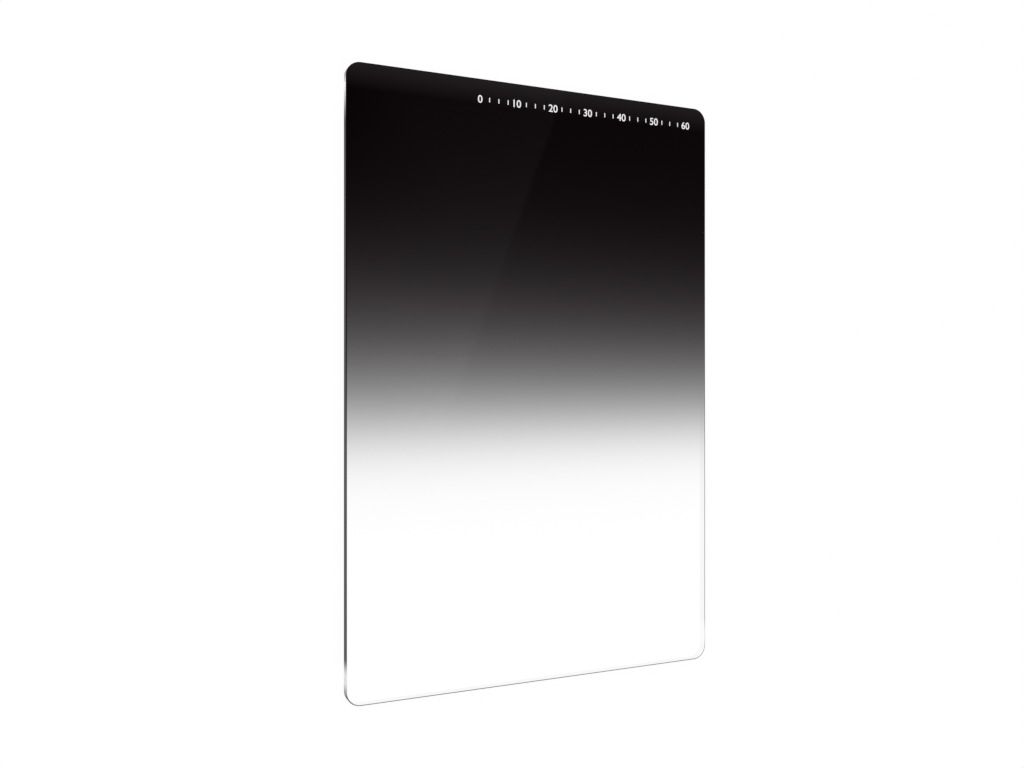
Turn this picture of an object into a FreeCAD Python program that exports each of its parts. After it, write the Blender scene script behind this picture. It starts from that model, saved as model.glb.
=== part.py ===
"""Graduated neutral-density filter plate for a 100 mm slot holder.

The filter is one rectangular plate of optical glass. It lies on its rear face with the coated
front face up. X runs across the plate, Y along the graduation with the dark end towards +Y, and
Z through the glass. The origin is the centre of the rear face.

The real plate is made in two steps, and the model follows them. A blank with rounded corners is
cut from flat sheet, and then a narrow, shallow bevel is ground along the rim of each face, round
the corners too. Between the two bevels stays the land, the upright band of the rim that runs in
the grooves of the holder.
"""
import os

import FreeCAD
import Part

# Blank, in millimetres
PLATE_WIDTH = 100.0
PLATE_LENGTH = 150.0
GLASS_THICKNESS = 2.0
CORNER_RADIUS = 3.6

# Bevel of each face, in millimetres: wide along the face and shallow through the thickness
BEVEL_WIDTH = 0.25
BEVEL_DEPTH = 0.12

# How near an edge has to lie to a face's height to be part of that face's rim, in millimetres
HEIGHT_TOLERANCE = 0.001

UP = FreeCAD.Vector(0.0, 0.0, 1.0)


def blank_outline():
    """Outline of the blank on the rear face: a quarter circle at each corner, and four straight sides."""
    corner_x = PLATE_WIDTH / 2.0 - CORNER_RADIUS
    corner_y = PLATE_LENGTH / 2.0 - CORNER_RADIUS
    corner_centres = [
        FreeCAD.Vector(corner_x, corner_y, 0.0),
        FreeCAD.Vector(-corner_x, corner_y, 0.0),
        FreeCAD.Vector(-corner_x, -corner_y, 0.0),
        FreeCAD.Vector(corner_x, -corner_y, 0.0),
    ]
    corners = []
    for quarter, centre in enumerate(corner_centres):
        start_angle = 90.0 * quarter
        corners.append(Part.makeCircle(CORNER_RADIUS, centre, UP, start_angle, start_angle + 90.0))
    edges = []
    for corner, next_corner in zip(corners, corners[1:] + corners[:1]):
        straight_start = corner.valueAt(corner.LastParameter)
        straight_end = next_corner.valueAt(next_corner.FirstParameter)
        edges.append(corner)
        edges.append(Part.makeLine(straight_start, straight_end))
    return Part.Wire(edges)


def rim_edges(plate, height):
    """Edges of the plate that lie wholly at one height: the rim of the face there."""
    return [
        edge
        for edge in plate.Edges
        if abs(edge.BoundBox.ZMin - height) < HEIGHT_TOLERANCE
        and abs(edge.BoundBox.ZMax - height) < HEIGHT_TOLERANCE
    ]


def make_filter_plate():
    """The glass plate: the blank, with the bevel of each face ground all the way round."""
    blank = Part.Face(blank_outline()).extrude(UP * GLASS_THICKNESS)
    front_ground = blank.makeChamfer(BEVEL_DEPTH, BEVEL_WIDTH, rim_edges(blank, GLASS_THICKNESS))
    both_ground = front_ground.makeChamfer(BEVEL_DEPTH, BEVEL_WIDTH, rim_edges(front_ground, 0.0))
    return both_ground.Solids[0]


def report_sizes(plate):
    """Print the finished sizes, so that a change to the values above can be read back."""
    box = plate.BoundBox
    land = GLASS_THICKNESS - 2.0 * BEVEL_DEPTH
    print(f"plate {box.XLength:.2f} x {box.YLength:.2f} x {box.ZLength:.2f} mm")
    print(f"volume {plate.Volume / 1000.0:.3f} cm3, {len(plate.Faces)} faces, valid {plate.isValid()}")
    print(f"land of the rim between the bevels {land:.2f} mm")


filter_plate = make_filter_plate()
report_sizes(filter_plate)

os.makedirs("parts", exist_ok=True)
filter_plate.exportStep("parts/filter_plate.step")
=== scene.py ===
# %% [markdown]
# # A graduated grey filter
#
# The object is one rectangle of optical glass, 100 by 150 millimetres and 2 millimetres thick. One
# end is coated almost black, and the coating fades away to clear glass a little below the middle.
# A landscape photographer slides the plate into a slot in front of the lens, with the dark end
# over the bright sky.
#
# The notebook dresses the imported solid in five steps:
#
# 1. the camera, at about the angle of the photograph
# 2. the finishes: coated glass and the ground rim
# 3. the plate itself, grown from its outline and the section of its rim
# 4. the white scale that is printed near the dark end
# 5. the white studio, its lamps and the board that the glass reflects
#
# The imported solid comes first. It fixes the size of everything that follows, so its box is kept
# and printed beside that of the finished model at the end.

# %% Load the imported frame
import math
from collections import Counter

import bmesh
import bpy
from mathutils import Matrix, Vector


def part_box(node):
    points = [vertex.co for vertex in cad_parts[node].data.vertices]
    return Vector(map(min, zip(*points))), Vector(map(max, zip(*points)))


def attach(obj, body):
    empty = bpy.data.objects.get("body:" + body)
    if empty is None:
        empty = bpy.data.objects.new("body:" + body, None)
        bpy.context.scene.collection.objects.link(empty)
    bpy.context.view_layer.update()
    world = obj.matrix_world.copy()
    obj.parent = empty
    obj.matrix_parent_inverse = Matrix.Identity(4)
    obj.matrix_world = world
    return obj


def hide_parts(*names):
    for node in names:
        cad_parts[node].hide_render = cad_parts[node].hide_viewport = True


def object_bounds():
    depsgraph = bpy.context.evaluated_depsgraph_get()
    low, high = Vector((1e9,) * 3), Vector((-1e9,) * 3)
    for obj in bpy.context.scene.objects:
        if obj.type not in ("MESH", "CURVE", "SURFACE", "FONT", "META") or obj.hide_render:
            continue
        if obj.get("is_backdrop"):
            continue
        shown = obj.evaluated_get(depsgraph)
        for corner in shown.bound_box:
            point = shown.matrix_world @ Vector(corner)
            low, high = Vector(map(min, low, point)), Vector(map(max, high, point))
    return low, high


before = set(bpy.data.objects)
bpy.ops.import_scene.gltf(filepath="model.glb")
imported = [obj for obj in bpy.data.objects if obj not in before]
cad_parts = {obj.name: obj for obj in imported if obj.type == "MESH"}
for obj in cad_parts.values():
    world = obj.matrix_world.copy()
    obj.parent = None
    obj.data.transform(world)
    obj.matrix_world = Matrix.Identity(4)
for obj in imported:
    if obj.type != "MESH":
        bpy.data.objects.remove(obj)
cad_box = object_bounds()

MM = 0.001

plate_low, plate_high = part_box("filter_plate")
PLATE_WIDTH, PLATE_LENGTH, GLASS_THICKNESS = plate_high - plate_low
print("plate, in millimetres:", [round(side / MM, 3) for side in plate_high - plate_low])

# %% [markdown]
# ## The camera
#
# In the photograph both long edges are upright and parallel, and only the top and bottom edges
# converge. So the camera looks level across the plate and stands to its left: a narrow strip of
# the left rim is in view, and the right side is farther away and smaller.
#
# A camera is a position and three directions. The plate lies flat here, so "up" in the picture is
# along the plate, +Y, and the line of sight leans over from straight down by the turn angle. The
# position is found by walking back from the centre of the coated face along that line, and then
# sideways, until the plate sits in the frame about as it does in the photograph.
#
# It isn't the same to the pixel. The photograph shows much of the rim and little narrowing, and no
# camera was found that gives both without a large lens shift. The turn and the distance here are a
# compromise, in which the plate is a twentieth narrower than in the photograph.

# %% Place the camera
TURN_ANGLE = math.radians(24.0)
CAMERA_DISTANCE = 240.7 * MM
CAMERA_SIDESTEP = 7.26 * MM
NEAREST_SEEN = 10.0 * MM

# Blender counts these two in millimetres
LENS = 33.5
SENSOR_WIDTH = 36.0


def new_object(name, data):
    """An object that shows this data, linked to the scene."""
    made = bpy.data.objects.new(name, data)
    bpy.context.scene.collection.objects.link(made)
    return made


def place_camera():
    """The camera, turned about the plate's long axis and looking at its coated face."""
    right = Vector((math.cos(TURN_ANGLE), 0.0, math.sin(TURN_ANGLE)))
    up = Vector((0.0, 1.0, 0.0))
    forward = up.cross(right)
    face_centre = Vector((0.0, 0.0, GLASS_THICKNESS))
    place = face_centre - right * CAMERA_SIDESTEP - forward * CAMERA_DISTANCE
    camera = new_object("camera", bpy.data.cameras.new("camera"))
    camera.matrix_world = Matrix.Translation(place) @ Matrix((right, up, -forward)).transposed().to_4x4()
    camera.data.lens = LENS
    camera.data.sensor_width = SENSOR_WIDTH
    camera.data.clip_start = NEAREST_SEEN
    bpy.context.scene.camera = camera
    return camera


camera = place_camera()
print("camera, in millimetres:", [round(x / MM, 1) for x in camera.location])

# %% [markdown]
# ## Node trees that read like formulas
#
# Both the shapes and the finishes below are node trees. Wiring nodes one by one hides the idea
# behind them, so one small class stands for the output of a node and knows how to add, multiply
# and raise to a power. Then `1 - y / length` builds its own Math nodes. Most other nodes come from
# one method, `node`, which takes the type, the settings and the values or links of the sockets.


# %% Sockets in formulas
class Signal:
    """The output of a node, for use in a formula or as the input of another node."""

    def __init__(self, tree, socket):
        self.tree = tree
        self.socket = socket

    def beside(self, name):
        """Another output of the same node."""
        return Signal(self.tree, self.socket.node.outputs[name])

    def calculate(self, operation, *terms):
        return Bench(self.tree).node("ShaderNodeMath", {"operation": operation}, dict(enumerate(terms)))

    def __add__(self, other):
        return self.calculate("ADD", self, other)

    def __radd__(self, other):
        return self.calculate("ADD", other, self)

    def __sub__(self, other):
        return self.calculate("SUBTRACT", self, other)

    def __rsub__(self, other):
        return self.calculate("SUBTRACT", other, self)

    def __mul__(self, other):
        return self.calculate("MULTIPLY", self, other)

    def __rmul__(self, other):
        return self.calculate("MULTIPLY", other, self)

    def __truediv__(self, other):
        return self.calculate("DIVIDE", self, other)

    def __mod__(self, other):
        return self.calculate("MODULO", self, other)

    def __pow__(self, other):
        return self.calculate("POWER", self, other)

    def __rpow__(self, other):
        return self.calculate("POWER", other, self)

    def __abs__(self):
        return self.calculate("ABSOLUTE", self)

    def __lt__(self, other):
        return self.calculate("LESS_THAN", self, other)

    def __gt__(self, other):
        return self.calculate("GREATER_THAN", self, other)


print("the output of a node can stand in a formula")


# %% A bench for nodes
class Bench:
    """A node tree to build on."""

    def __init__(self, tree):
        self.tree = tree

    def node(self, kind, settings=None, sockets=None, output=0):
        """A new node: its settings first, then the value or link of each socket."""
        made = self.tree.nodes.new(kind)
        for name, setting in (settings or {}).items():
            setattr(made, name, setting)
        for name, given in (sockets or {}).items():
            for value in given if isinstance(given, list) else [given]:
                if isinstance(value, Signal):
                    self.tree.links.new(value.socket, made.inputs[name])
                else:
                    made.inputs[name].default_value = value
        return Signal(self.tree, made.outputs[output]) if made.outputs else None

    def blend(self, share, first, second):
        """A colour between two others."""
        settings = {"data_type": "RGBA"}
        return self.node("ShaderNodeMix", settings, {0: share, 6: first, 7: second}, output=2)

    def ramp(self, value, start, end, curve="LINEAR"):
        """0 up to the start, 1 from the end on, and a straight or soft climb between them."""
        sockets = {"Value": value, "From Min": start, "From Max": end}
        return self.node("ShaderNodeMapRange", {"interpolation_type": curve}, sockets, output="Result")


def new_finish(name):
    """An empty material and the bench of its node tree."""
    material = bpy.data.materials.new(name)
    material.use_nodes = True
    material.node_tree.nodes.clear()
    return material, Bench(material.node_tree)


print("formulas on sockets are ready")

# %% [markdown]
# ## The coating
#
# The dark end is taken as a film of metal on the front of the glass, thinner than a wavelength of
# light. Its density grows evenly towards the dark end, so the light falls by the same *ratio* with
# every millimetre. That is why the fade looks soft at the clear side and closes quickly to black.
#
# One formula describes it. Far into the dark end the light let through is an exponential of the
# distance, and towards the clear end it comes ever nearer to 1. `(1 + e ** d) ** -p` passes smoothly
# from one to the other, where `d` counts the distance from the start of the fade. Its three numbers
# were chosen by comparing renders with the photograph. It comes within a few levels of the
# photograph's tones, but doesn't follow their every turn. Written once, it works on a plain number
# and on a socket alike.
#
# Along the dark end's own edge runs a slightly paler band. It is a painted sheen: it stands in for a
# reflection, and is made as a thinner film that lets more of the white ground through, because that
# stays with the plate when it is turned. It may be a reflection, or a thinner film where a rack held
# the plate.

# %% Light through the coating
FADE_START = -14.37 * MM
FADE_STEP = 4.78 * MM
FADE_POWER = 0.459
# The painted sheen: a paler band along the dark end, made as a thinner film
SHEEN_BAND = 6.3 * MM
SHEEN_BAND_LIGHT = 0.0120


def fade(along_plate):
    """The share of light that passes the fading film, at a distance along the plate."""
    distance = (along_plate - FADE_START) / FADE_STEP
    return (1 + math.e ** distance) ** -FADE_POWER


def light_let_through(bench, along_plate):
    """The share of light that passes the whole coating: the fade, and the painted sheen along its dark end.
    """
    end = PLATE_LENGTH / 2
    painted_sheen = bench.ramp(along_plate, end - SHEEN_BAND, end) * SHEEN_BAND_LIGHT
    return fade(along_plate) + painted_sheen


for y in (-40, -20, -10, 0, 10, 20, 40):
    print(f"light through the fading film at {y:4d} mm: {fade(y * MM):.4f}")

# %% [markdown]
# ## Coated glass
#
# A filter is meant to be invisible except for its tone. Almost nothing shines back from its faces, and
# what the eye sees is the white ground behind the plate, times the light that the coating lets
# through. *Alpha* says exactly that: 0 shows what is behind, 1 hides it.
#
# A ray of light meets two faces on its way, the front and the rear. If both darkened it, the tone
# would count twice. So a face acts only on light that enters the glass, and is clear from inside:
# that is the *Backfacing* output of the Geometry node. The plate then has the same tone from above
# and from below.
#
# An alpha has one weakness: saved in a picture, it has only 256 steps, and near black each step shows
# as a band. So where the glass passes less than four hundredths of the light, the film hides the
# ground altogether and its own colour carries the tone, which a picture saves in much finer steps.
#
# Neutral filters are rarely quite neutral. The dark end here is a warm black, and where the film gets
# thinner its grey stays a touch warm. *Alpha* weighs this colour too, so it is gone by itself where
# the glass is clear.

# %% Coated glass
FILM_COLOUR = (0.0015, 0.0001, 0.0004, 1.0)
THIN_FILM_COLOUR = (0.0396, 0.0348, 0.0364, 1.0)
THIN_FILM_LIGHT = 0.04
FILM_ROUGHNESS = 0.04
FILM_REFLECTION = 0.018


def coated_glass():
    """Clear glass with the graded film, seen against whatever lies behind it."""
    material, bench = new_finish("coated_glass")
    place = bench.node("ShaderNodeTexCoord", output="Object")
    along_plate = bench.node("ShaderNodeSeparateXYZ", sockets={"Vector": place}, output="Y")
    from_inside = bench.node("ShaderNodeNewGeometry", output="Backfacing")
    light = light_let_through(bench, along_plate)
    thinness = bench.ramp(light, 0.0, THIN_FILM_LIGHT)
    held_back = 1 - bench.ramp(light, THIN_FILM_LIGHT, 1.0)
    surface = bench.node("ShaderNodeBsdfPrincipled", sockets={
        "Base Color": bench.blend(thinness, FILM_COLOUR, THIN_FILM_COLOUR),
        "Roughness": FILM_ROUGHNESS,
        "Specular IOR Level": FILM_REFLECTION,
        "Alpha": held_back * (1 - from_inside),
    })
    bench.node("ShaderNodeOutputMaterial", sockets={"Surface": surface})
    return material


glass_finish = coated_glass()
print("coated glass:", len(glass_finish.node_tree.nodes), "nodes")

# %% [markdown]
# ## The ground rim
#
# Such a blank is cut from a sheet, and its rim is then ground with a diamond wheel: first the
# upright land, then a narrow, shallow bevel along each face. Ground glass is a dull grey, much
# darker than the polished faces look against a white ground, because light that enters through it
# is scattered inside the plate and little of it comes back.
#
# Three details are added to the plain grey:
#
# - fine scratches that run along the rim, drawn by a noise that is stretched along the plate and
#   squeezed through its thickness
# - pale patches on the long sides, just before each corner: painted highlights, a near-white grey
#   put into the rim's colour where light would catch it. The photograph doesn't say what they are.
# - the film, which wraps over the front bevel, so the fine line round the face darkens along with it
#
# The bevels of the two short ends are a lighter grey than the others. With one grey for all, the line
# at the clear end came out darker than in the photograph. From inside, through the polished face, the
# ground rim is only a faint grey veil: real glass would show it more clearly, and the photograph
# doesn't show it at all.

# %% Sizes and tones of the rim
CORNER_RADIUS = 3.6 * MM
BEVEL_WIDTH = 0.25 * MM
BEVEL_DEPTH = 0.12 * MM
LAND_GREY = 0.065
BEVEL_GREY = 0.10
END_BEVEL_GREY = 0.22
# The near-white grey of the painted highlights near the corners
HIGHLIGHT_GREY = 0.88
VEIL = 0.03

# Painted highlights near the corners, as lengths from the middle of the plate: a highlight comes up
# between begin and palest, and goes out between corner and end. A climb above 1 makes it come up late,
# and strength says how far it gets.
DARK_END_HIGHLIGHT = {
    "begin": 60.6 * MM,
    "palest": 69.3 * MM,
    "corner": 69.6 * MM,
    "end": 73.4 * MM,
    "curve": "LINEAR",
    "climb": 1.6,
    "strength": 1.0,
}
CLEAR_END_HIGHLIGHT = {
    "begin": 63.7 * MM,
    "palest": 67.8 * MM,
    "corner": 69.5 * MM,
    "end": 72.9 * MM,
    "curve": "SMOOTHSTEP",
    "climb": 1.0,
    "strength": 0.75,
}


def wheel_patch(bench, from_middle, highlight):
    """How strong a painted highlight is: 0 outside it, and up to the highlight's strength inside."""
    climb = bench.ramp(from_middle, highlight["begin"], highlight["palest"], highlight["curve"]) ** highlight["climb"]
    return climb * (1 - bench.ramp(from_middle, highlight["corner"], highlight["end"])) * highlight["strength"]


print("patches at both ends of the long sides, up to", round(DARK_END_HIGHLIGHT["end"] / MM, 1), "mm")

# %% Ground rim
FILM_EDGE = 0.02 * MM
SCRATCH_SCALE = (400.0, 400.0, 18000.0)
SCRATCH_DEPTH = 0.01 * MM
SCRATCH_RELIEF = 0.25
RIM_REFLECTION = 0.03

# These two start at the first number and rise with the noise of the scratches
SCRATCH_SHADE = {"dark": 0.6, "rise": 0.8}
RIM_ROUGHNESS = {"smooth": 0.45, "rise": 0.25}


def rim_tone(bench, place, scratches):
    """The grey of the ground glass: land and bevels, painted highlights near the corners, and the film over
    the front.
    """
    x = bench.node("ShaderNodeSeparateXYZ", sockets={"Vector": place}, output="X")
    y, z = x.beside("Y"), x.beside("Z")
    front = bench.ramp(z, GLASS_THICKNESS - BEVEL_DEPTH - FILM_EDGE, GLASS_THICKNESS - BEVEL_DEPTH)
    rear = 1 - bench.ramp(z, BEVEL_DEPTH, BEVEL_DEPTH + FILM_EDGE)
    on_long_side = bench.ramp(abs(x), PLATE_WIDTH / 2 - CORNER_RADIUS, PLATE_WIDTH / 2)
    land = LAND_GREY * (SCRATCH_SHADE["dark"] + SCRATCH_SHADE["rise"] * scratches)
    bevel = END_BEVEL_GREY + on_long_side * (BEVEL_GREY - END_BEVEL_GREY)
    ground = land + (front + rear) * (bevel - land)
    # Painted highlights: the long sides turn near-white just before each corner
    painted_highlights = wheel_patch(bench, y, DARK_END_HIGHLIGHT) + wheel_patch(bench, -1 * y, CLEAR_END_HIGHLIGHT)
    with_highlights = ground + painted_highlights * on_long_side * (HIGHLIGHT_GREY - ground)
    under_film = 1 - front * (1 - light_let_through(bench, y))
    return with_highlights * under_film


def ground_rim():
    """Dull ground glass that hides what is behind it from outside, and veils it a little from inside."""
    material, bench = new_finish("ground_rim")
    place = bench.node("ShaderNodeTexCoord", output="Object")
    from_inside = bench.node("ShaderNodeNewGeometry", output="Backfacing")
    stretched = bench.node("ShaderNodeVectorMath", {"operation": "MULTIPLY"}, {0: place, 1: SCRATCH_SCALE})
    scratches = bench.node("ShaderNodeTexNoise", sockets={"Vector": stretched, "Detail": 3.0}, output="Fac")
    tone = rim_tone(bench, place, scratches)
    colour = bench.node("ShaderNodeCombineColor", sockets={"Red": tone, "Green": tone, "Blue": tone})
    relief = bench.node("ShaderNodeBump", sockets={
        "Height": scratches,
        "Strength": SCRATCH_RELIEF,
        "Distance": SCRATCH_DEPTH,
    })
    surface = bench.node("ShaderNodeBsdfPrincipled", sockets={
        "Base Color": colour,
        "Roughness": RIM_ROUGHNESS["smooth"] + RIM_ROUGHNESS["rise"] * scratches,
        "Specular IOR Level": RIM_REFLECTION,
        "Alpha": 1 - from_inside * (1 - VEIL),
        "Normal": relief,
    })
    bench.node("ShaderNodeOutputMaterial", sockets={"Surface": surface})
    return material


rim_finish = ground_rim()
print("ground rim:", len(rim_finish.node_tree.nodes), "nodes")

# %% [markdown]
# ## Running a geometry tree
#
# Each shape below is a geometry node tree with named sizes. A modifier carries the tree, its sizes
# are set before Blender evaluates it for the first time, and the result is then copied out as a
# plain mesh. The modifier and its object are no longer needed, and what stays is an ordinary piece
# whose place is in its mesh.


# %% From a tree to a plain piece
def new_shape_tree(name, sizes):
    """A geometry node tree with one named input for each size, and the first of its input sockets."""
    tree = bpy.data.node_groups.new(name, "GeometryNodeTree")
    for size in sizes:
        kind = "NodeSocketInt" if isinstance(sizes[size], int) else "NodeSocketFloat"
        tree.interface.new_socket(name=size, in_out="INPUT", socket_type=kind)
    tree.interface.new_socket(name="Shape", in_out="OUTPUT", socket_type="NodeSocketGeometry")
    bench = Bench(tree)
    return bench, bench.node("NodeGroupInput")


def grow(bench, sizes, piece_name):
    """The piece that a tree makes at these sizes, as an object with a plain mesh."""
    carrier = new_object("carrier", bpy.data.meshes.new("carrier"))
    modifier = carrier.modifiers.new("shape", "NODES")
    modifier.node_group = bench.tree
    for item in bench.tree.interface.items_tree:
        if item.in_out == "INPUT":
            modifier[item.identifier] = sizes[item.name]
    evaluated = carrier.evaluated_get(bpy.context.evaluated_depsgraph_get())
    mesh = bpy.data.meshes.new_from_object(evaluated)
    mesh.name = piece_name
    bpy.data.objects.remove(carrier)
    return new_object(piece_name, mesh)


print("shape trees are ready")

# %% [markdown]
# ## The plate
#
# The plate could be a box with a Bevel modifier, but its shape has a simpler rule: *one outline and
# one section*. The outline is a rectangle with rounded corners. The section is a cut through the
# rim: a little of the front face, the front bevel, the land, the rear bevel and a little of the
# rear face. *Curve to Mesh* sweeps the section round the outline, just as the grinding wheel goes
# round the blank, and the two polished faces close it.
#
# Real edges are never razor sharp, so each edge of the section is rounded by four hundredths of a
# millimetre.
#
# The section is drawn in its own plane, where to the right means outwards from the plate, and upwards
# means down through the glass. It has six points, so a line of six points is bent into shape with an
# Index Switch.

# %% Outline and section
EDGE_ROUND = 0.04 * MM
EDGE_SEGMENTS = 3
FACE_LAP = 1.0 * MM


def rounded_rectangle(bench, width, length, corner_radius, segments):
    """The outline of the blank, as a closed curve round the middle."""
    rectangle = bench.node("GeometryNodeCurvePrimitiveQuadrilateral", {"mode": "RECTANGLE"}, {
        "Width": width,
        "Height": length,
    })
    return bench.node("GeometryNodeFilletCurve", {"mode": "POLY"}, {
        "Curve": rectangle,
        "Radius": corner_radius,
        "Count": segments,
    })


def pick_number(bench, number, choices):
    """The choice with this number, from a list of values or formulas."""
    switch = bench.tree.nodes.new("GeometryNodeIndexSwitch")
    switch.data_type = "FLOAT"
    while len(switch.index_switch_items) < len(choices):
        switch.index_switch_items.new()
    bench.tree.links.new(number.socket, switch.inputs["Index"])
    for place, choice in enumerate(choices):
        socket = switch.inputs[place + 1]
        if isinstance(choice, Signal):
            bench.tree.links.new(choice.socket, socket)
        else:
            socket.default_value = choice
    return Signal(bench.tree, switch.outputs[0])


def rim_section(bench, thickness, bevel_width, bevel_depth, edge_round):
    """The cut through the rim, from the front face round to the rear face."""
    points = [
        (-FACE_LAP, 0.0),
        (-1 * bevel_width, 0.0),
        (0.0, bevel_depth),
        (0.0, thickness - bevel_depth),
        (-1 * bevel_width, thickness),
        (-FACE_LAP, thickness),
    ]
    line = bench.node("GeometryNodeCurvePrimitiveLine", sockets={"End": (0.0, GLASS_THICKNESS, 0.0)})
    six_points = bench.node("GeometryNodeResampleCurve", sockets={"Curve": line, "Count": len(points)})
    number = bench.node("GeometryNodeInputIndex")
    across = pick_number(bench, number, [point[0] for point in points])
    down = pick_number(bench, number, [point[1] for point in points])
    position = bench.node("ShaderNodeCombineXYZ", sockets={"X": across, "Y": down})
    bent = bench.node("GeometryNodeSetPosition", sockets={"Geometry": six_points, "Position": position})
    return bench.node("GeometryNodeFilletCurve", {"mode": "POLY"}, {
        "Curve": bent,
        "Radius": edge_round,
        "Count": EDGE_SEGMENTS,
    })


print("a section of six points, rounded by", EDGE_ROUND / MM, "mm")

# %% [markdown]
# ### Closing the faces and giving out the finishes
#
# The swept rim is a ring with two open edges, one round each polished face. An open edge touches only
# one face of the mesh, so *Edge Neighbors* finds it. *Mesh to Curve* turns it into a curve, and *Fill
# Curve* lays a flat face inside, always at height zero and facing up. The front face is lifted to the
# top of the glass, and the rear face is turned over. A second outline, a millimetre smaller, would
# look as good a start, but its points would miss those of the ring by a hundredth of a millimetre,
# and light would shine through the gaps. Filled this way, each point of the face lies on a point of
# the ring, and merging them makes the plate one closed skin.
#
# Only two finishes meet on the plate. Whatever lies flat is polished and gets the coated glass, and
# whatever leans or stands upright was ground, so the direction of a face is enough to tell them apart.

# %% The plate as a tree
MERGE_DISTANCE = 0.001 * MM
LIES_FLAT = 0.9999

plate_sizes = {
    "Width": PLATE_WIDTH,
    "Length": PLATE_LENGTH,
    "Thickness": GLASS_THICKNESS,
    "Corner radius": CORNER_RADIUS,
    "Bevel width": BEVEL_WIDTH,
    "Bevel depth": BEVEL_DEPTH,
    "Edge round": EDGE_ROUND,
    "Corner segments": 28,
}


def polished_face(bench, rim, open_edge, height):
    """A flat face that closes one open edge of the rim, at this height."""
    border = bench.node("GeometryNodeMeshToCurve", sockets={"Mesh": rim, "Selection": open_edge})
    face = bench.node("GeometryNodeFillCurve", {"mode": "NGONS"}, {"Curve": border})
    lift = bench.node("ShaderNodeCombineXYZ", sockets={"Z": height})
    return bench.node("GeometryNodeSetPosition", sockets={"Geometry": face, "Offset": lift})


def plate_tree(sizes):
    """The filter plate: the swept rim, both faces, and a finish for each."""
    bench, first_input = new_shape_tree("filter plate", sizes)
    size = {name: first_input.beside(name) for name in sizes}
    outline = rounded_rectangle(
        bench, size["Width"], size["Length"], size["Corner radius"], size["Corner segments"])
    section = rim_section(
        bench, size["Thickness"], size["Bevel width"], size["Bevel depth"], size["Edge round"])
    swept = bench.node("GeometryNodeCurveToMesh", sockets={"Curve": outline, "Profile Curve": section})
    lift = bench.node("ShaderNodeCombineXYZ", sockets={"Z": size["Thickness"]})
    rim = bench.node("GeometryNodeSetPosition", sockets={"Geometry": swept, "Offset": lift})
    faces_at_edge = bench.node("GeometryNodeInputMeshEdgeNeighbors", output="Face Count")
    open_edge = faces_at_edge < 1.5
    position = bench.node("GeometryNodeInputPosition")
    level = bench.node("ShaderNodeSeparateXYZ", sockets={"Vector": position}, output="Z")
    middle = size["Thickness"] / 2
    front = polished_face(bench, rim, open_edge * (level > middle), size["Thickness"])
    rear_up = polished_face(bench, rim, open_edge * (level < middle), 0.0)
    rear = bench.node("GeometryNodeFlipFaces", sockets={"Mesh": rear_up})
    joined = bench.node("GeometryNodeJoinGeometry", sockets={"Geometry": [rim, front, rear]})
    skin = bench.node("GeometryNodeMergeByDistance", sockets={
        "Geometry": joined,
        "Distance": MERGE_DISTANCE,
    })

    normal = bench.node("GeometryNodeInputNormal")
    upright_part = bench.node("ShaderNodeSeparateXYZ", sockets={"Vector": normal}, output="Z")
    ground = abs(upright_part) < LIES_FLAT
    shaded = bench.node("GeometryNodeSetShadeSmooth", {"domain": "FACE"}, {
        "Geometry": skin,
        "Shade Smooth": ground,
    })
    real = bench.node("GeometryNodeRealizeInstances", sockets={"Geometry": shaded})
    coated = bench.node("GeometryNodeSetMaterial", sockets={"Geometry": real, "Material": glass_finish})
    finished = bench.node("GeometryNodeSetMaterial", sockets={
        "Geometry": coated,
        "Selection": ground,
        "Material": rim_finish,
    })
    bench.node("NodeGroupOutput", sockets={"Shape": finished})
    return bench


plate_shape = plate_tree(plate_sizes)
print("tree of the plate:", len(plate_shape.tree.nodes), "nodes")


# %% Grow the plate
def count_open_edges(mesh):
    """How many edges touch only one face: none on a closed skin."""
    faces_at = Counter(edge for face in mesh.polygons for edge in face.edge_keys)
    return sum(count == 1 for count in faces_at.values())


filter_plate = grow(plate_shape, plate_sizes, "graduated_plate")
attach(filter_plate, "root")
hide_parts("filter_plate")
print("plate:", len(filter_plate.data.vertices), "points,", len(filter_plate.data.polygons), "faces,",
      count_open_edges(filter_plate.data), "open edges")
print("plate box, in millimetres:", [round(side / MM, 3) for side in filter_plate.dimensions])

# %% [markdown]
# ## The printed scale
#
# A small row of white print stands near the dark edge, on the right. Here it is a plain scale in
# millimetres. The ink is made like screen print: a flat coat, about a hundredth of a millimetre
# thick, with an even edge. It reaches a little into the glass, so that no gap shows under it.
#
# The ticks repeat, so a geometry tree makes them: points in a row, one small bar on each point, and
# a gap at every fourth point, where a numeral stands.

# %% White ink
INK_SHADOW = (0.80, 0.80, 0.79, 1.0)
INK_LIGHT = (0.90, 0.90, 0.89, 1.0)
INK_GRAIN = 9000.0
INK_ROUGHNESS = {"smooth": 0.55, "rise": 0.2}
INK_REFLECTION = 0.3


def white_ink():
    """Matt screen ink: slightly uneven in cover, with a soft grain."""
    material, bench = new_finish("white_ink")
    place = bench.node("ShaderNodeTexCoord", output="Object")
    noise = {"Vector": place, "Scale": INK_GRAIN, "Detail": 2.0}
    grain = bench.node("ShaderNodeTexNoise", sockets=noise, output="Fac")
    surface = bench.node("ShaderNodeBsdfPrincipled", sockets={
        "Base Color": bench.blend(grain, INK_SHADOW, INK_LIGHT),
        "Roughness": INK_ROUGHNESS["smooth"] + INK_ROUGHNESS["rise"] * grain,
        "Specular IOR Level": INK_REFLECTION,
    })
    bench.node("ShaderNodeOutputMaterial", sockets={"Surface": surface})
    return material


ink_finish = white_ink()
print("white ink:", len(ink_finish.node_tree.nodes), "nodes")

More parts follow.
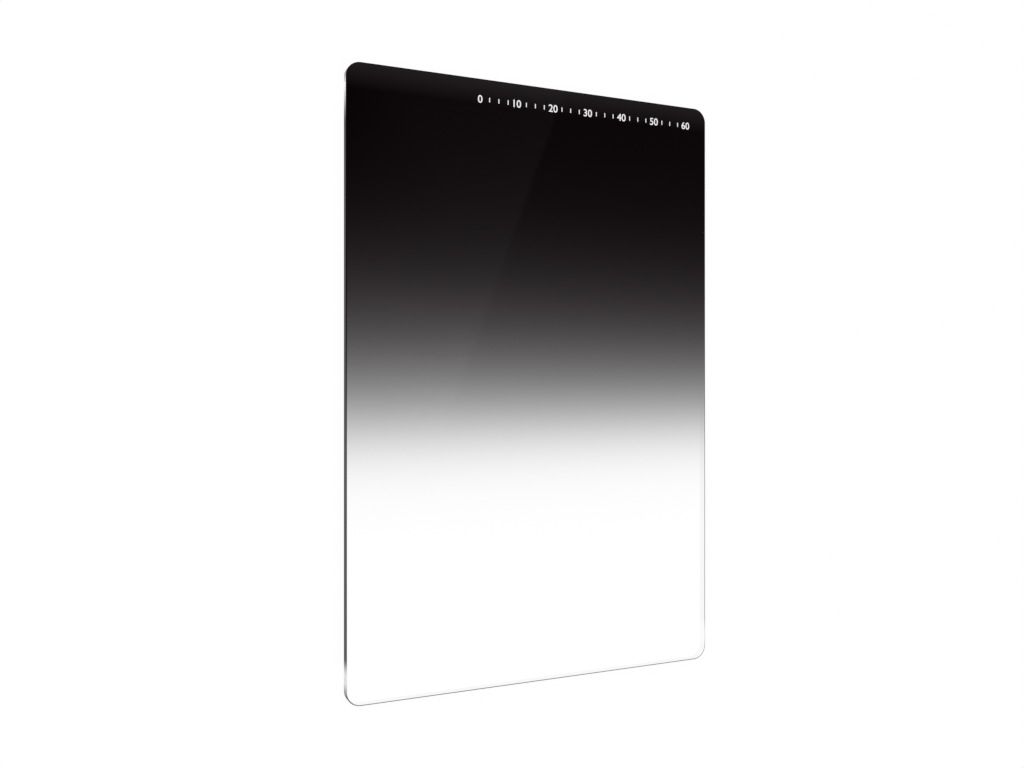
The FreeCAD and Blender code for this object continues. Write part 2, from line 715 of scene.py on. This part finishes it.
# %% The row of ticks
SCALE_START = Vector((-16.5 * MM, 70.0 * MM))
LAST_NUMERAL = 60
NUMERAL_STEP = 10
TICKS_PER_NUMERAL = 4
INK_THICKNESS = 0.012 * MM
INK_SUNK = 0.002 * MM
INK_MIDDLE = GLASS_THICKNESS + (INK_THICKNESS - INK_SUNK) / 2

tick_sizes = {
    "Pitch": NUMERAL_STEP * MM / TICKS_PER_NUMERAL,
    "Count": LAST_NUMERAL // NUMERAL_STEP * TICKS_PER_NUMERAL + 1,
    "Gap at every": TICKS_PER_NUMERAL,
    "Tick width": 0.25 * MM,
    "Tick length": 1.1 * MM,
}


def tick_tree(sizes):
    """A row of short bars, with a place left free for each numeral."""
    bench, first_input = new_shape_tree("scale ticks", sizes)
    size = {name: first_input.beside(name) for name in sizes}
    step = bench.node("ShaderNodeCombineXYZ", sockets={"X": size["Pitch"]})
    row = bench.node("GeometryNodeMeshLine", {"mode": "OFFSET"}, {
        "Count": size["Count"],
        "Start Location": (*SCALE_START, INK_MIDDLE),
        "Offset": step,
    })
    bar_size = bench.node("ShaderNodeCombineXYZ", sockets={
        "X": size["Tick width"],
        "Y": size["Tick length"],
        "Z": INK_THICKNESS + INK_SUNK,
    })
    bar = bench.node("GeometryNodeMeshCube", sockets={"Size": bar_size})
    number = bench.node("GeometryNodeInputIndex")
    place_in_group = number % size["Gap at every"]
    bars = bench.node("GeometryNodeInstanceOnPoints", sockets={
        "Points": row,
        "Selection": place_in_group > 0.5,
        "Instance": bar,
    })
    real = bench.node("GeometryNodeRealizeInstances", sockets={"Geometry": bars})
    inked = bench.node("GeometryNodeSetMaterial", sockets={"Geometry": real, "Material": ink_finish})
    bench.node("NodeGroupOutput", sockets={"Shape": inked})
    return bench


ticks = grow(tick_tree(tick_sizes), tick_sizes, "scale_ticks")
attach(ticks, "root")
print("ticks:", len(ticks.data.polygons) // 6)

# %% [markdown]
# ### Numerals
#
# Blender's own plain font has upright, open figures like those of a workshop rule. Each numeral is
# a text curve that is drawn thick and turned into a mesh. Only then is it scaled to the height of the
# print and the thickness of the ink, and moved to its place on the glass, so the piece itself stays
# at the origin.


# %% The numerals
CAP_HEIGHT = 1.9 * MM
NUMERAL_WEIGHT = 0.012
NUMERAL_MERGE = 0.0005 * MM


def numeral_mesh(text):
    """A number as a mesh, one unit high and one unit thick, centred on its own middle."""
    curve = bpy.data.curves.new("numeral", "FONT")
    curve.body = text
    curve.offset = NUMERAL_WEIGHT
    curve.extrude = 0.5
    drawing = new_object("numeral", curve)
    evaluated = drawing.evaluated_get(bpy.context.evaluated_depsgraph_get())
    mesh = bpy.data.meshes.new_from_object(evaluated)
    bpy.data.objects.remove(drawing)
    corners = [vertex.co for vertex in mesh.vertices]
    low = Vector([min(corner[axis] for corner in corners) for axis in range(3)])
    high = Vector([max(corner[axis] for corner in corners) for axis in range(3)])
    size = high.y - low.y
    mesh.transform(Matrix.Translation(-(low + high) / 2))
    mesh.transform(Matrix.Diagonal((1 / size, 1 / size, 1 / (high.z - low.z), 1.0)))
    return mesh


def printed_numerals():
    """All numerals of the scale in one piece."""
    together = bmesh.new()
    for number in range(0, LAST_NUMERAL + 1, NUMERAL_STEP):
        mesh = numeral_mesh(str(number))
        mesh.transform(Matrix.Diagonal((CAP_HEIGHT, CAP_HEIGHT, INK_THICKNESS + INK_SUNK, 1.0)))
        mesh.transform(Matrix.Translation((SCALE_START.x + number * MM, SCALE_START.y, INK_MIDDLE)))
        together.from_mesh(mesh)
    bmesh.ops.remove_doubles(together, verts=together.verts, dist=NUMERAL_MERGE)
    bmesh.ops.recalc_face_normals(together, faces=together.faces)
    mesh = bpy.data.meshes.new("scale_numerals")
    together.to_mesh(mesh)
    together.free()
    mesh.materials.append(ink_finish)
    return new_object("scale_numerals", mesh)


numerals = printed_numerals()
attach(numerals, "root")
print("numerals:", len(numerals.data.polygons), "faces")

# %% [markdown]
# ## The white studio
#
# The photograph has a pure white ground. A floor that is lit until it burns out would also wash out
# the object, so the floor is white by itself where the camera looks at it: most of it glows at
# strength 1, and a small share is an ordinary pale surface, which keeps the soft shadow of the plate.
# Far from the plate there is no shadow to keep, so that share fades out there, and the floor meets
# the white world without a line. Reflected and transmitted rays see the same white, so the glass
# shows the studio it stands in.

# %% Floor and world
WHITE = (1.0, 1.0, 1.0, 1.0)
PAPER = (0.97, 0.97, 0.97, 1.0)
FLOOR_GAP = 0.05 * MM
FLOOR_SIZE = 6000.0 * MM
FLOOR_GLOW = 0.93
SHADOW_REACH = {"near": 150.0 * MM, "far": 600.0 * MM}
WORLD_LIGHT = 0.55


def sees_white_ground(bench):
    """1 for the rays that show the background, 0 for those that only carry light."""
    seen = bench.node("ShaderNodeLightPath", output="Is Camera Ray")
    total = seen + seen.beside("Is Glossy Ray") + seen.beside("Is Transmission Ray")
    return bench.node("ShaderNodeMath", {"operation": "MINIMUM"}, {0: total, 1: 1.0})


def pale_floor():
    """White to the eye, and an ordinary pale surface to the light."""
    material, bench = new_finish("pale_floor")
    paper = bench.node("ShaderNodeBsdfDiffuse", sockets={"Color": PAPER})
    glow = bench.node("ShaderNodeEmission", sockets={"Color": WHITE, "Strength": 1.0})
    place = bench.node("ShaderNodeTexCoord", output="Object")
    from_plate = bench.node("ShaderNodeVectorMath", {"operation": "LENGTH"}, {0: place}, output="Value")
    far_away = bench.ramp(from_plate, SHADOW_REACH["near"], SHADOW_REACH["far"], "SMOOTHSTEP")
    share = sees_white_ground(bench) * (FLOOR_GLOW + (1 - FLOOR_GLOW) * far_away)
    mixed = bench.node("ShaderNodeMixShader", sockets={0: share, 1: paper, 2: glow})
    bench.node("ShaderNodeOutputMaterial", sockets={"Surface": mixed})
    return material


def lay_floor():
    """A wide flat floor just under the plate."""
    half = FLOOR_SIZE / 2
    corners = [(-half, -half), (half, -half), (half, half), (-half, half)]
    mesh = bpy.data.meshes.new("floor")
    mesh.from_pydata([(x, y, -FLOOR_GAP) for x, y in corners], [], [(0, 1, 2, 3)])
    mesh.materials.append(pale_floor())
    floor = new_object("floor", mesh)
    floor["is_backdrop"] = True
    return floor


def white_world():
    """White behind everything, and a soft even light from all sides."""
    world = bpy.data.worlds.new("studio")
    world.use_nodes = True
    world.node_tree.nodes.clear()
    bench = Bench(world.node_tree)
    strength = WORLD_LIGHT + (1 - WORLD_LIGHT) * sees_white_ground(bench)
    sky = bench.node("ShaderNodeBackground", sockets={"Color": WHITE, "Strength": strength})
    bench.node("ShaderNodeOutputWorld", sockets={"Surface": sky})
    bpy.context.scene.world = world
    return world


floor = lay_floor()
world = white_world()
print("floor, in metres:", [round(side, 3) for side in floor.dimensions])
print("world:", world.name)

# %% [markdown]
# ## Lamps
#
# Two large soft lamps model the rim. The key lamp stands at the left, so that it lights the strip of
# ground glass in view, and a weaker one fills in from the right. A lamp that showed up in the
# polished face would draw a pale square on the black, so no reflection shows the lamps, and what the
# glass reflects is set up by itself in the next step.

# %% Key and fill
KEY_LAMP = {"place": (-950.0 * MM, 100.0 * MM, 1050.0 * MM), "width": 800.0 * MM, "watts": 10.5}
FILL_LAMP = {"place": (1000.0 * MM, -400.0 * MM, 950.0 * MM), "width": 800.0 * MM, "watts": 4.8}


def soft_lamp(name, place, width, watts):
    """A square lamp that points at the middle of the plate."""
    lamp = bpy.data.lights.new(name, "AREA")
    lamp.shape = "SQUARE"
    lamp.size = width
    lamp.energy = watts
    holder = new_object(name, lamp)
    turn = (-Vector(place)).to_track_quat("-Z", "Y")
    holder.matrix_world = Matrix.Translation(place) @ turn.to_matrix().to_4x4()
    holder.visible_camera = False
    holder.visible_glossy = False
    return holder


key = soft_lamp("key lamp", **KEY_LAMP)
fill = soft_lamp("fill lamp", **FILL_LAMP)
print("lamps:", key.name, "and", fill.name)

# %% [markdown]
# ## What the glass reflects
#
# A long look at the dark end in the photograph shows a pale wedge on the left, with a slanting edge.
# It is made here as the reflection of a studio board. A flat mirror makes that easy to place: the
# board must lie where the straight lines from the *mirrored* camera through the wedge's corners
# arrive. So each corner is given on the plate, in millimetres, and carried along its line to the
# height of the board.
#
# The board glows weakly at its left and brighter towards the slanting edge. Lower down it glows more
# strongly and then stops, so that the slanting edge stays in sight over the paler glass. No plain
# board shines like that: its strengths are a lighting choice, set by comparing renders with the
# photograph. The board is part of the studio, and only reflections can see it.

# %% The reflected board
BOARD_HEIGHT = 250.0 * MM
LEFT_SHARE = 0.15

# Places on the plate, in millimetres from its middle
WEDGE_LEFT = -52.0
SLANTING_EDGE = {"x": 14.4, "y": 95.0, "lean": 0.38}

# How strongly the board glows at its slanting edge, for each height on the plate
EDGE_GLOW = {95.0: 1.8, 25.0: 3.0, 10.0: 6.5, 0.0: 11.0, -18.0: 0.0}
BOARD_TINT = (1.0, 0.97, 0.94)


def carried_to_board(corner):
    """The point of the board that a corner on the plate mirrors to the camera."""
    on_plate = Vector(corner) * MM
    eye = Vector(camera.location[:2])
    eye_height = camera.location.z - GLASS_THICKNESS
    reach = (eye_height + BOARD_HEIGHT) / eye_height
    along = eye + (on_plate - eye) * reach
    return (along.x, along.y, GLASS_THICKNESS + BOARD_HEIGHT)


def board_mesh():
    """The board as a strip of four-cornered pieces, with the colour of its glow stored at each corner."""
    corners = []
    colours = []
    for y, glow in EDGE_GLOW.items():
        edge_x = SLANTING_EDGE["x"] + (y - SLANTING_EDGE["y"]) * SLANTING_EDGE["lean"]
        for x, share in ((WEDGE_LEFT, LEFT_SHARE), (edge_x, 1.0)):
            corners.append(carried_to_board((x, y)))
            colours += [glow * share * part for part in BOARD_TINT] + [1.0]
    pieces = [(row, row + 1, row + 3, row + 2) for row in range(0, len(corners) - 2, 2)]
    mesh = bpy.data.meshes.new("reflected_board")
    mesh.from_pydata(corners, [], pieces)
    stored = mesh.attributes.new("glow", "FLOAT_COLOR", "POINT")
    stored.data.foreach_set("color", colours)
    return mesh


def reflected_board():
    """A board above the plate that only shiny surfaces see."""
    mesh = board_mesh()
    material, bench = new_finish("studio_board")
    glow = bench.node("ShaderNodeAttribute", {"attribute_name": "glow"}, output="Color")
    light = bench.node("ShaderNodeEmission", sockets={"Color": glow, "Strength": 1.0})
    bench.node("ShaderNodeOutputMaterial", sockets={"Surface": light})
    mesh.materials.append(material)
    board = new_object("reflected_board", mesh)
    for ray in ("camera", "diffuse", "transmission", "volume_scatter", "shadow"):
        setattr(board, f"visible_{ray}", False)
    board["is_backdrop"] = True
    return board


board = reflected_board()
print("board corners, in millimetres:", [[round(x / MM) for x in v.co] for v in board.data.vertices])

# %% [markdown]
#
# The Standard view shows every colour as it is written. The last step measures the finished model
# and prints its box beside that of the imported solid: apart from the hair of ink on the front face,
# the two are the same.

# %% Finish
bpy.context.scene.view_settings.view_transform = "Standard"

visual_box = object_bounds()
boxes = {
    "cad": [list(corner) for corner in cad_box],
    "visual": [list(corner) for corner in visual_box],
}
for name, (low, high) in boxes.items():
    print(name, "box, in millimetres:", [round((b - a) / MM, 3) for a, b in zip(low, high)])
